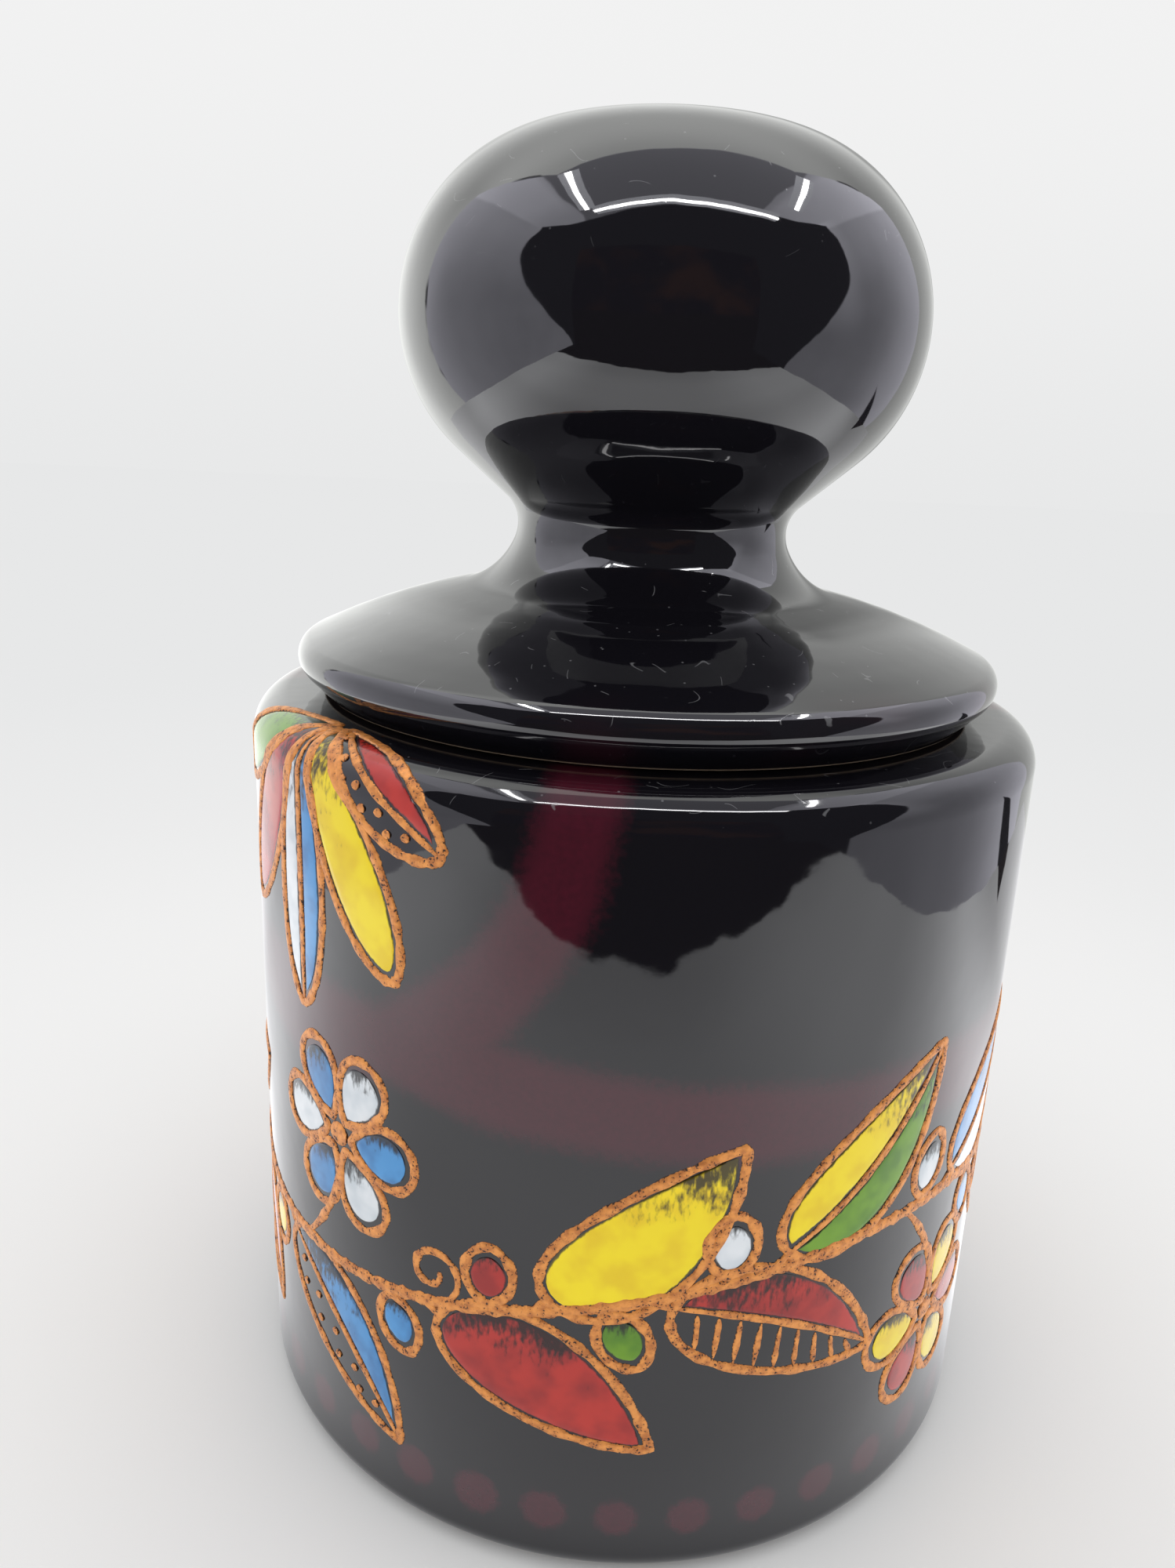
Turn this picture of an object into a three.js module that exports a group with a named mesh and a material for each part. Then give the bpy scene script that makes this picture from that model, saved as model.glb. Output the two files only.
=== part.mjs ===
// A glazed stoneware candy jar: a straight-sided round body with a turned-in shoulder, and a
// lift-off lid whose hollow knob, waisted neck and sloping top are one turned and fired piece.
// Millimetres, +Z up. The origin is the centre of the foot, on the surface the jar stands on.

import * as THREE from "three";

// Jar body
const bodyRadius = 78; // outside of the straight wall
const bodyHeight = 147.3; // from the foot to the flat land that carries the lid
const wallThickness = 6;
const floorThickness = 7;
const shoulderThickness = 6.5; // of the turned-in top
const shoulderRound = 7; // outer edge between the wall and the land
const baseRoundHeight = 8.5; // the wall draws in over this height above the foot
const baseRoundInset = 5; // by this much
const footWidth = 8; // flat, unglazed ring that the jar stands on
const footDepth = 2; // recess of the underside inside that ring
const footBevel = 1.5;
const landWidth = 10.5; // flat ring between the shoulder's round and the mouth's lip
const mouthLipRound = 2;
const floorRound = 9; // inside, between floor and wall
const cavityTopRound = 4; // inside, between wall and shoulder

// Lid
const seatGap = 0.3; // between the lid's seat and the land
const seatWidth = 3.5; // of the ring that rests on the land, outside the mouth's lip
const rimOverhang = 5; // of the lid's edge past its seat
const rimRound = 3; // bull nose of the lid's edge
const undercutAngle = THREE.MathUtils.degToRad(45); // under the edge, above the horizontal
const flangeClearance = 1.5; // between the locating flange and the mouth, all round
const flangeDepth = 11; // reach of the flange below the land
const flangeThickness = 5;
const flangeRootRound = 4; // inside, between flange and lid top
const lidThickness = 5.5; // of the sloping top, the neck and the hollow knob
const topSlope = THREE.MathUtils.degToRad(19.6); // fall of the lid's top towards its edge

// Neck and knob
const neckRadius = 26.5; // at the waist
const neckFootRound = 12; // sweep from the waist out to the lid's top
const neckHeadRound = 3.5; // sweep from the waist out to the knob
const knobRadius = 49.5; // at the knob's widest
const knobSideRound = 32.4; // section of the knob's side
const knobUnderAngle = THREE.MathUtils.degToRad(44); // cone under the knob
const knobCrownRadius = 180; // flattened top

// Fineness of the turned surfaces
const turns = 48; // facets round the axis
const arcStep = THREE.MathUtils.degToRad(18); // largest step along a rounded stretch

const QUARTER = Math.PI / 2;

// The mouth, the seat round it and the lid's edge follow from the body's outside.
const lipX = bodyRadius - shoulderRound - landWidth;
const mouthRadius = lipX - mouthLipRound;
const seatRadius = lipX + seatWidth;
const rimRadius = seatRadius + rimOverhang;

// Points of a circular arc in the section plane (x is the radius, y the height), ends included.
function arc(centreX, centreY, radius, from, to) {
  const steps = Math.max(2, Math.ceil(Math.abs(to - from) / arcStep));
  return Array.from({ length: steps + 1 }, (_, i) => {
    const angle = from + ((to - from) * i) / steps;
    return new THREE.Vector2(centreX + radius * Math.cos(angle), centreY + radius * Math.sin(angle));
  });
}

const point = (x, y) => new THREE.Vector2(x, y);

// Drops points that repeat the one before, where an arc starts at the end of a straight stretch.
function withoutRepeats(points) {
  return points.filter((p, i) => i === 0 || p.distanceTo(points[i - 1]) > 1e-6);
}

// A solid turned from a section that starts and ends on the axis, stood up along +Z.
function turned(section) {
  return new THREE.LatheGeometry(withoutRepeats(section), turns).rotateX(QUARTER);
}

// The body's section, from the middle of its underside round the outside to the middle of its floor.
function bodySection() {
  const baseRound = (baseRoundHeight ** 2 + baseRoundInset ** 2) / (2 * baseRoundInset);
  const baseSweep = Math.asin(baseRoundHeight / baseRound);
  const footOuter = bodyRadius - baseRoundInset;
  const footInner = footOuter - footWidth;
  const floorHeight = footDepth + floorThickness;
  const cavityRadius = bodyRadius - wallThickness;
  const cavityTop = bodyHeight - shoulderThickness;
  return [
    point(0, footDepth),
    point(footInner - footBevel, footDepth),
    point(footInner, 0),
    ...arc(bodyRadius - baseRound, baseRoundHeight, baseRound, -baseSweep, 0),
    ...arc(bodyRadius - shoulderRound, bodyHeight - shoulderRound, shoulderRound, 0, QUARTER),
    ...arc(lipX, bodyHeight - mouthLipRound, mouthLipRound, QUARTER, 2 * QUARTER),
    ...arc(lipX, cavityTop + mouthLipRound, mouthLipRound, 2 * QUARTER, 3 * QUARTER),
    ...arc(cavityRadius - cavityTopRound, cavityTop - cavityTopRound, cavityTopRound, QUARTER, 0),
    ...arc(cavityRadius - floorRound, floorHeight + floorRound, floorRound, 0, -QUARTER),
    point(0, floorHeight),
  ];
}

// The lid's levels and arc centres, each found from the piece that it stands on or runs into.
function lidLayout() {
  const seatHeight = bodyHeight + seatGap;
  // The edge's bull nose touches the undercut that rises from the seat.
  const rimX = rimRadius - rimRound;
  const rimY = seatHeight + (rimX - seatRadius) * Math.tan(undercutAngle) + rimRound / Math.cos(undercutAngle);
  // The sloping top touches the bull nose; topHeight is its level over the nose's centre.
  const topHeight = rimY + rimRound / Math.cos(topSlope);
  const topAt = (x) => topHeight + (rimX - x) * Math.tan(topSlope);
  // The sweep at the neck's foot touches both the top and the waist.
  const neckFootX = neckRadius + neckFootRound;
  const waistY = topAt(neckFootX) + neckFootRound / Math.cos(topSlope);
  const neckHeadX = neckRadius + neckHeadRound;
  // The knob's side touches the cone that rises from the sweep at the neck's head.
  const knobX = knobRadius - knobSideRound;
  const knobY = waistY - (neckHeadX - knobX) * Math.tan(knobUnderAngle)
    + (neckHeadRound + knobSideRound) / Math.cos(knobUnderAngle);
  // The crown's centre is on the axis, and its arc touches the knob's side from outside it.
  const crownReach = knobCrownRadius - knobSideRound;
  const crownY = knobY - Math.sqrt(crownReach ** 2 - knobX ** 2);
  const crownAngle = Math.atan2(knobY - crownY, knobX);
  return { seatHeight, rimX, rimY, topAt, neckFootX, neckHeadX, waistY, knobX, knobY, crownY, crownAngle };
}

// One face of the lid from the neck's foot up to the crown, inset by a wall (0 is the outside).
function neckAndKnob(at, inset) {
  const crown = knobCrownRadius - inset;
  const crownSteps = 2;
  return [
    ...arc(at.neckFootX, at.waistY, neckFootRound + inset, 3 * QUARTER - topSlope, 2 * QUARTER),
    ...arc(at.neckHeadX, at.waistY, neckHeadRound + inset, 2 * QUARTER, QUARTER + knobUnderAngle),
    ...arc(at.knobX, at.knobY, knobSideRound - inset, knobUnderAngle - QUARTER, at.crownAngle),
    ...Array.from({ length: crownSteps }, (_, i) => {
      const angle = at.crownAngle + ((QUARTER - at.crownAngle) * (i + 1)) / crownSteps;
      const x = i + 1 === crownSteps ? 0 : crown * Math.cos(angle);
      return point(x, at.crownY + crown * Math.sin(angle));
    }),
  ];
}

// The lid's section, from the inside of the hollow knob's crown down, round the flange and the
// edge, and up the outside to the top of the crown.
function lidSection() {
  const at = lidLayout();
  const flangeOuter = mouthRadius - flangeClearance;
  const flangeInner = flangeOuter - flangeThickness;
  const noseRound = flangeThickness / 2;
  const noseY = bodyHeight - flangeDepth + noseRound;
  const underside = (x) => at.topAt(x) - lidThickness / Math.cos(topSlope);
  // The root round touches the underside's slope and the flange's inner face.
  const rootX = flangeInner - flangeRootRound;
  const rootY = underside(rootX) - flangeRootRound / Math.cos(topSlope);
  return [
    ...neckAndKnob(at, lidThickness).reverse(),
    ...arc(rootX, rootY, flangeRootRound, QUARTER - topSlope, 0),
    ...arc(flangeInner + noseRound, noseY, noseRound, -2 * QUARTER, 0),
    point(flangeOuter, at.seatHeight),
    point(seatRadius, at.seatHeight),
    ...arc(at.rimX, at.rimY, rimRound, undercutAngle - QUARTER, QUARTER - topSlope),
    ...neckAndKnob(at, 0),
  ];
}

const glaze = { color: 0x0b0a0e, roughness: 0.06, metalness: 0 };

function piece(name, section) {
  const mesh = new THREE.Mesh(turned(section), new THREE.MeshStandardMaterial(glaze));
  mesh.name = name;
  return mesh;
}

const jar = new THREE.Group();
jar.name = "candy_jar";
jar.add(piece("jar_body", bodySection()), piece("lid", lidSection()));

export default jar;
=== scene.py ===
# %% [markdown]
# # A lidded candy jar in black glaze and enamels
# This notebook dresses a round ceramic jar. The solids come from CAD as a fixed frame, in metres, with the
# foot on z = 0 and the viewer on the -Y side. Blender adds what CAD leaves out: the mirror-smooth glaze, a
# painted garland, the raised copper lines round each leaf, and the light tent that such glaze is
# photographed in.

# %% Load the frame
import math

import bpy
import numpy as np
from mathutils import Matrix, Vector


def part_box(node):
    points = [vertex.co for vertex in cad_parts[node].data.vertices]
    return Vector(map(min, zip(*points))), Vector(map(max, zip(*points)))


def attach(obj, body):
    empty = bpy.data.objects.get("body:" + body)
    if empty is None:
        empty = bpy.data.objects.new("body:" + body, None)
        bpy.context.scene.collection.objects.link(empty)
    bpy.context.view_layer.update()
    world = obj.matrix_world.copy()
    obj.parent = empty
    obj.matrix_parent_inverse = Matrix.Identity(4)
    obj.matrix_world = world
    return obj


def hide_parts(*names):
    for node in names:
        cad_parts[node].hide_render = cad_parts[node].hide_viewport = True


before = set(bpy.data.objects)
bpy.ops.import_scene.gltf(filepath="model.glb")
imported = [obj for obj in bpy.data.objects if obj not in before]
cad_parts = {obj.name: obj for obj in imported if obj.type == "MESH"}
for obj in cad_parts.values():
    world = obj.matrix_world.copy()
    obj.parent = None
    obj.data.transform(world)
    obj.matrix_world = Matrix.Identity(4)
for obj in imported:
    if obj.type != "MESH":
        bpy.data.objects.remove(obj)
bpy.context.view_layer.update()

jar_low, jar_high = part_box("jar_body")
lid_low, lid_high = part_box("lid")
MM = 0.001
body_radius = jar_high.x / MM
body_height = jar_high.z / MM
print("body", round(body_radius, 2), "mm in radius, from", round(jar_low.z / MM, 2), "to",
      round(body_height, 2), "mm; lid from", round(lid_low.z / MM, 2), "to", round(lid_high.z / MM, 2), "mm")

# %% [markdown]
# ## The camera
# The photograph was taken with a phone's wide lens from close by, so the knob looks large and the jar seems
# to narrow downwards although its wall is straight. Only a camera at the same distance repeats that. The
# distances are counted in body radii, which a picture gives without the real size being known.

# %% Camera
radii_back, radii_up = 3.0657, 2.5323
camera_place = (0.0, -radii_back * body_radius * MM, radii_up * body_radius * MM)


def camera_axes(pitch, yaw, roll):
    """Right, up and backward directions of a camera turned by yaw, tipped down by pitch, then rolled."""
    forward = np.array([math.sin(yaw) * math.cos(pitch), math.cos(yaw) * math.cos(pitch), -math.sin(pitch)])
    level = np.array([math.cos(yaw), -math.sin(yaw), 0.0])
    right = math.cos(roll) * level + math.sin(roll) * np.cross(level, forward)
    return right, np.cross(right, forward), -forward


def put_in_scene(name, data):
    """A new object for the data, such as a mesh or a camera's, in the scene."""
    made = bpy.data.objects.new(name, data)
    bpy.context.scene.collection.objects.link(made)
    return made


camera_data = bpy.data.cameras.new("camera")
camera_data.sensor_width = 36.0
camera_data.lens = 27.0
camera_data.clip_start = 0.01
camera = put_in_scene("camera", camera_data)
placed = np.eye(4)
placed[:3, :3] = np.stack(camera_axes(pitch=0.2929, yaw=-0.0442, roll=0.0414), axis=1)
placed[:3, 3] = camera_place
camera.matrix_world = Matrix(placed.tolist())
bpy.context.scene.camera = camera
bpy.context.scene.view_settings.view_transform = "Standard"
print("camera at", [round(x, 4) for x in camera_place])

# %% [markdown]
# ## Shader maths as Python
# Blender's materials are node graphs. Wiring each node by hand hides the formula, so one small class wraps
# an output socket and lets ordinary operators add the Math nodes: `1 - mask * noise` makes two of them.
# Every other kind of node comes from `node`, which takes its type, its settings and its inputs. The names
# below it are short ways to say what the materials need again and again.

# %% Wire
class Wire:
    """An output socket of a node tree. Operators between wires and numbers add Math nodes."""

    def __init__(self, tree, socket=None):
        self.tree = tree
        self.socket = socket

    def node(self, kind, settings=None, inputs=None, out=0):
        """Adds a node: its settings first, such as an operation, then the values or links of its inputs."""
        made = self.tree.nodes.new(kind)
        for name, value in (settings or {}).items():
            setattr(made, name, value)
        for key, value in (inputs or {}).items():
            if isinstance(value, Wire):
                self.tree.links.new(value.socket, made.inputs[key])
            else:
                made.inputs[key].default_value = value
        return Wire(self.tree, made.outputs[out] if made.outputs else None)

    def math(self, operation, *values):
        """A Math node on the values, which are wires or numbers."""
        return self.node("ShaderNodeMath", {"operation": operation}, dict(enumerate(values)))

    def __add__(self, other):
        return self.math("ADD", self, other)

    def __radd__(self, other):
        return self.math("ADD", other, self)

    def __sub__(self, other):
        return self.math("SUBTRACT", self, other)

    def __rsub__(self, other):
        return self.math("SUBTRACT", other, self)

    def __mul__(self, other):
        return self.math("MULTIPLY", self, other)

    def __rmul__(self, other):
        return self.math("MULTIPLY", other, self)

    def __truediv__(self, other):
        return self.math("DIVIDE", self, other)

    def noise(self, place, scale, detail=2.0):
        """Cloudy noise from 0 to 1, with lumps about 1 / scale across."""
        return self.node("ShaderNodeTexNoise", None, {"Vector": place, "Scale": scale, "Detail": detail})

    def smooth(self, start, end):
        """A smooth step from 0 at start to 1 at end. It falls as this wire grows where end is below start."""
        low, high = min(start, end), max(start, end)
        settings = {"interpolation_type": "SMOOTHSTEP"}
        step = self.node("ShaderNodeMapRange", settings, {0: self, 1: low, 2: high})
        return step if start < end else 1 - step

    def mix(self, first, second):
        """A colour that goes from first to second as this wire goes from 0 to 1."""
        colours = [value if isinstance(value, Wire) else (*value, 1.0) for value in (first, second)]
        ends = {0: self, 6: colours[0], 7: colours[1]}
        return self.node("ShaderNodeMix", {"data_type": "RGBA"}, ends, out=2)

    def surface(self, kind, inputs):
        """Ends a material with one shader of the kind."""
        self.node("ShaderNodeOutputMaterial", None, {"Surface": self.node(kind, None, inputs)})


def axes_of(vector):
    """The three numbers of a vector wire."""
    return [vector.node("ShaderNodeSeparateXYZ", None, {0: vector}, out=axis) for axis in "XYZ"]


def length_of(a, b):
    """The distance that two steps at a right angle make: the root of a a + b b."""
    return a.math("SQRT", a * a + b * b)


def new_material(name):
    """A new material, and its empty node tree as a wire."""
    material = bpy.data.materials.new(name)
    material.use_nodes = True
    material.node_tree.nodes.clear()
    return material, Wire(material.node_tree)


# %% [markdown]
# ## Light, backdrop and room
# Glossy black shows little of its own colour: what the eye sees is the room mirrored in it. So the world
# does three jobs, told apart by the Light Path node. It lights the jar softly and evenly, it shows the
# camera a plain pale backdrop, and it gives mirrors the dim room in front of the light tent. The tent itself
# is built further down, at its real size, because its mirror image changes with the place on the jar.

# %% World
world = bpy.data.worlds.new("studio")
bpy.context.scene.world = world
world.use_nodes = True
world.node_tree.nodes.clear()
sky = Wire(world.node_tree)
direction = sky.node("ShaderNodeTexCoord", out="Generated")
upward = axes_of(direction)[2]
room = sky.noise(direction, 3.0, 3.0).smooth(0.46, 0.72).mix((0.050, 0.045, 0.055), (0.150, 0.080, 0.060))
backdrop = upward.smooth(-0.12, 0.30).mix((0.800, 0.805, 0.808), (0.885, 0.885, 0.885))
soft_light = upward.smooth(-0.3, 0.9).mix((0.98, 0.98, 1.0), (1.10, 1.10, 1.10))
path = {name: sky.node("ShaderNodeLightPath", out=name) for name in ("Is Camera Ray", "Is Glossy Ray")}
seen = path["Is Camera Ray"].mix(path["Is Glossy Ray"].mix(soft_light, room), backdrop)
background = sky.node("ShaderNodeBackground", None, {"Color": seen, "Strength": 1.0})
sky.node("ShaderNodeOutputWorld", None, {"Surface": background})
print("world nodes:", len(world.node_tree.nodes))

# %% [markdown]
# ## Nets of points
# Everything below is a net: rows and columns of points worked out by numpy as one array. The columns wrap
# round, and the rows either wrap too, as on a ring, or close on two single points, as on a ball. One
# function writes the faces for any number of equal nets, and one turns points and faces into a mesh.

# %% Faces and meshes
SHARP_ANGLE = math.radians(35)


def net_faces(count, rows, columns, looped):
    """Quads and triangles of count nets of rows x columns points. An open net has its two end points last."""
    def corner(row, column):
        return (row % rows) * columns + column % columns

    row, column = np.meshgrid(np.arange(rows if looped else rows - 1), np.arange(columns), indexing="ij")
    quads = np.stack([corner(row, column), corner(row, column + 1), corner(row + 1, column + 1),
                      corner(row + 1, column)], axis=-1).reshape(-1, 4)
    column = np.arange(columns)
    start = np.stack([corner(0, column + 1), corner(0, column), np.full(columns, rows * columns)], axis=-1)
    end = np.stack([corner(rows - 1, column), corner(rows - 1, column + 1),
                    np.full(columns, rows * columns + 1)], axis=-1)
    fans = np.zeros((0, 3), int) if looped else np.concatenate([start, end])
    shift = np.arange(count)[:, None, None] * (rows * columns + (0 if looped else 2))
    return (shift + quads).reshape(-1, 4), (shift + fans).reshape(-1, 3)


def volume(points, faces):
    """Six times the signed volume under triangles, the sum of a . (b x c): positive if they face out."""
    a, b, c = (points[faces[:, i]] for i in range(3))
    return float(np.einsum("ij,ij->", a, np.cross(b, c)))


def make_piece(name, parts, material, body, values=None):
    """One object from parts, each (points in metres, quads, triangles). Values has arrays of a number for
    each point, which are stored on the mesh under their names."""
    sizes = np.cumsum([0] + [len(points) for points, quads, fans in parts])
    points = np.concatenate([part[0] for part in parts])
    quads = np.concatenate([part[1] + size for part, size in zip(parts, sizes)])
    fans = np.concatenate([part[2] + size for part, size in zip(parts, sizes)])
    if volume(points, quads[:, :3]) + volume(points, quads[:, [0, 2, 3]]) + volume(points, fans) < 0:
        quads, fans = quads[:, ::-1], fans[:, ::-1]
    mesh = bpy.data.meshes.new(name)
    mesh.from_pydata(points.tolist(), [], quads.tolist() + fans.tolist())
    for key, value in (values or {}).items():
        mesh.attributes.new(key, "FLOAT", "POINT").data.foreach_set("value", value.astype(np.float32))
    mesh.materials.append(material)
    mesh.shade_smooth()
    mesh.set_sharp_from_angle(angle=SHARP_ANGLE)
    piece = put_in_scene(name, mesh)
    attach(piece, body)
    print(name, "has", 2 * len(quads) + len(fans), "triangles")
    return piece


# %% [markdown]
# ## Sections
# Both pieces of the jar are thrown and turned, so each is one section swept round the axis. A section is
# drawn with arcs and straight stretches. The straight ones get points too, because a mirror finish shows
# how shading is blended along a face, and short faces next to a round keep that blend short.

# %% Arcs, straights and turning
ARC_STEP, LONGEST_STEP = 3.0, 3.0


def arc_angles(start, end):
    """Angles from start to end, ARC_STEP degrees apart or less, in radians."""
    return np.radians(np.linspace(start, end, max(3, math.ceil(abs(end - start) / ARC_STEP) + 1)))


def arc(centre_x, centre_y, radius, start, end):
    """Points of a circular arc in the section plane: centre + radius * (cos, sin) of the angle."""
    angle = arc_angles(start, end)
    return np.stack([centre_x + radius * np.cos(angle), centre_y + radius * np.sin(angle)], axis=-1)


def section(*stretches):
    """Joins arcs and points, fills gaps with points LONGEST_STEP mm apart or less and drops repeats."""
    joined = np.concatenate([np.atleast_2d(stretch) for stretch in stretches])
    steps = np.maximum(1, np.ceil(np.hypot(*np.diff(joined, axis=0).T) / LONGEST_STEP).astype(int))
    filled = [np.linspace(a, b, n, endpoint=False) for a, b, n in zip(joined[:-1], joined[1:], steps)]
    filled = np.concatenate(filled + [joined[-1:]])
    keep = np.concatenate([[True], np.hypot(*np.diff(filled, axis=0).T) > 1e-4])
    return filled[keep]


def turned(profile, turns=256):
    """A section swept round the axis: the point at angle a is (x sin a, -x cos a, y). Both ends are poles."""
    angle = np.linspace(0, 2 * math.pi, turns, endpoint=False)
    x, y = profile[1:-1, 0, None], profile[1:-1, 1, None]
    rings = np.stack([x * np.sin(angle), -x * np.cos(angle), y + 0 * angle], axis=-1)
    ends = np.array([[0, 0, profile[0, 1]], [0, 0, profile[-1, 1]]])
    points = np.concatenate([rings.reshape(-1, 3), ends]) * MM
    return points, *net_faces(1, len(x), turns, looped=False)


# %% [markdown]
# ## The glaze
# The real glaze is black glass about half a millimetre thick, run smooth in the kiln. Two things keep it
# from looking like plastic: it isn't quite even, so long straight reflections waver a little, and dust,
# short threads of lint and wiping marks lie on it. Plum colour was sprayed under it in soft bands. Where
# the pot stood in the kiln, on its foot, and where the lid was fired on its rim, the glaze is wiped off
# and the buff clay shows.

# %% The glaze's shader
GLAZE_BLACK = (0.0052, 0.0048, 0.0068)
PLUM = (0.150, 0.011, 0.030)
PLUM_SHARE = 0.36
CLAY, DARK_CLAY = (0.50, 0.38, 0.27), (0.40, 0.29, 0.20)
DUST, DUST_COVER = (0.40, 0.40, 0.42), 0.22
# Scale, detail and height in metres of the glaze's waver, the ripple of the hand and the fine orange peel.
WAVERS = ((38.0, 1.0, 180e-6), (150.0, 1.0, 35e-6), (420.0, 2.0, 2.5e-6))


def dust_on(base, place):
    """How much dust hides the glaze, up to DUST_COVER on faces that look up. Specks are the middles of a few
    picked Voronoi cells. Lint lies where one noise crosses its middle value, a thin wandering line that a
    second noise cuts into short bits."""
    cells = {"Vector": place, "Scale": 450.0}
    far = base.node("ShaderNodeTexVoronoi", None, cells, out="Distance")
    chosen = axes_of(base.node("ShaderNodeTexVoronoi", None, cells, out="Color"))[0]
    specks = far.smooth(0.12, 0.05) * chosen.smooth(0.65, 0.70)
    crossing = base.math("ABSOLUTE", base.noise(place, 130.0, 0.0) - 0.5)
    lint = crossing.smooth(0.007, 0.002) * base.noise(place, 290.0, 0.0).smooth(0.66, 0.70)
    facing = axes_of(base.node("ShaderNodeNewGeometry", out="Normal"))[2]
    return base.math("MAXIMUM", specks, lint) * facing.smooth(0.05, 0.6) * DUST_COVER


def glaze_material(name, clay_of, plum_of, gloss):
    """Black glass with waver, dust, lint and wiping marks. The two functions give the masks of clay and
    plum, and gloss is the glass's index of refraction, which says how much of the tent it mirrors."""
    material, base = new_material(name)
    place = base.node("ShaderNodeTexCoord", out="Object")
    clay, plum, dust = clay_of(base, place), plum_of(base, place), dust_on(base, place)
    clay_colour = base.noise(place, 420.0).smooth(0.25, 0.75).mix(CLAY, DARK_CLAY)
    colour = clay.mix(dust.mix((plum * PLUM_SHARE).mix(GLAZE_BLACK, PLUM), DUST), clay_colour)
    wiped = base.noise(place, 60.0, 4.0).smooth(0.45, 0.75)
    skin = {}
    for scale, detail, height in WAVERS:
        bump = {"Distance": height, "Height": base.noise(place, scale, detail), **skin}
        skin = {"Normal": base.node("ShaderNodeBump", None, bump)}
    base.surface("ShaderNodeBsdfPrincipled", {
        "Base Color": colour, "Roughness": 0.030 + wiped * 0.03 + dust * 0.4 + clay * 0.6, "IOR": gloss,
        **skin})
    return material


# %% [markdown]
# ## The wall, unrolled
# The garland is laid out flat, as on a strip of paper wrapped round the jar: u runs round it in millimetres
# and is 0 where it faces the viewer, and s climbs its outer section from the shelf it stands on, over the
# rounded shoulder and along the flat land under the lid. One function puts such a point back on the jar.
# The glazed wall keeps 0.35 mm inside the CAD solid, so the raised copper reaches the real radius.

# %% The unrolled wall
RELIEF = 0.35
wall = body_radius - RELIEF
girth = 2 * math.pi * wall
shoulder_round = 7.0
bend_centre = body_radius - shoulder_round
bend_start = body_height - shoulder_round
bend_radius = shoulder_round - RELIEF
land_start = bend_start + bend_radius * math.pi / 2


def on_wall(u, s, lift):
    """The point u mm round, s mm up and lift mm off the glaze. Round the shoulder s is the arc's length, so
    the bend is (s - start) / radius, from 0 on the wall to a quarter turn where the land starts."""
    bend = np.clip((s - bend_start) / bend_radius, 0.0, math.pi / 2)
    reach = bend_centre + (bend_radius + lift) * np.cos(bend) - np.maximum(s - land_start, 0.0)
    height = np.minimum(s, bend_start) + (bend_radius + lift) * np.sin(bend)
    return np.stack([reach * np.sin(u / wall), -reach * np.cos(u / wall), height], axis=-1) * MM


print("the strip is", round(girth, 1), "mm long, and the land starts", round(land_start, 1), "mm up it")

# %% [markdown]
# ## The jar's body
# The section goes from the middle of the underside over the bare foot ring, up the rounded base, the wall
# and the shoulder, across the land, and back down the inside to the middle of the floor.

# %% Jar section
foot_inner, foot_outer, foot_depth, foot_bevel, base_round = 65.0, 72.6, 2.0, 1.5, 5.6
lip_x, lip_round, wall_thickness, shoulder_thickness = 60.5, 2.0, 6.0, 6.5
cavity_radius, cavity_top = body_radius - wall_thickness, body_height - shoulder_thickness
cavity_round, floor_height, floor_round = 4.0, 9.0, 9.0
land_height = body_height - RELIEF
jar_section = section(
    (0, foot_depth),
    (foot_inner - foot_bevel, foot_depth),
    (foot_inner, 0),
    (foot_outer, 0),
    arc(body_radius - base_round, base_round, base_round - RELIEF, -80, 0),
    arc(bend_centre, bend_start, bend_radius, 0, 90),
    arc(lip_x, land_height - lip_round, lip_round, 90, 180),
    arc(lip_x, cavity_top + lip_round, lip_round, 180, 270),
    arc(cavity_radius - cavity_round, cavity_top - cavity_round, cavity_round, 90, 0),
    arc(cavity_radius - floor_round, floor_height + floor_round, floor_round, 0, -90),
    (0, floor_height),
)
print("jar section:", len(jar_section), "points, to radius", round(jar_section[:, 0].max(), 2))

# %% [markdown]
# ## Where the plum was sprayed
# A spray gun leaves bands with soft, slightly grainy edges. Three are used, all as distances on the unrolled
# wall: a long wave round the jar, an arch over each place where leaves hang from the shoulder, and a row of
# small round berries near the foot.

# %% Plum mask
WAVES = 2
spray_start, wave_height, wave_swing = -64.0, 95.0, 4.0
arch_centre, arch_radius, band_edges = 150.0, 56.0, (9.5, 4.5)
berry_count, berry_height, berry_edges = 38, 14.0, (4.9, 2.9)


def from_middle(base, around, count, shift):
    """Mm round the wall from the middle of the nearest of count equal shares: the angle's place within its
    share, from -0.5 to 0.5, times the share's length."""
    return (base.math("FRACT", around * (count / (2 * math.pi)) + shift) - 0.5) * (girth / count)


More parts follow.
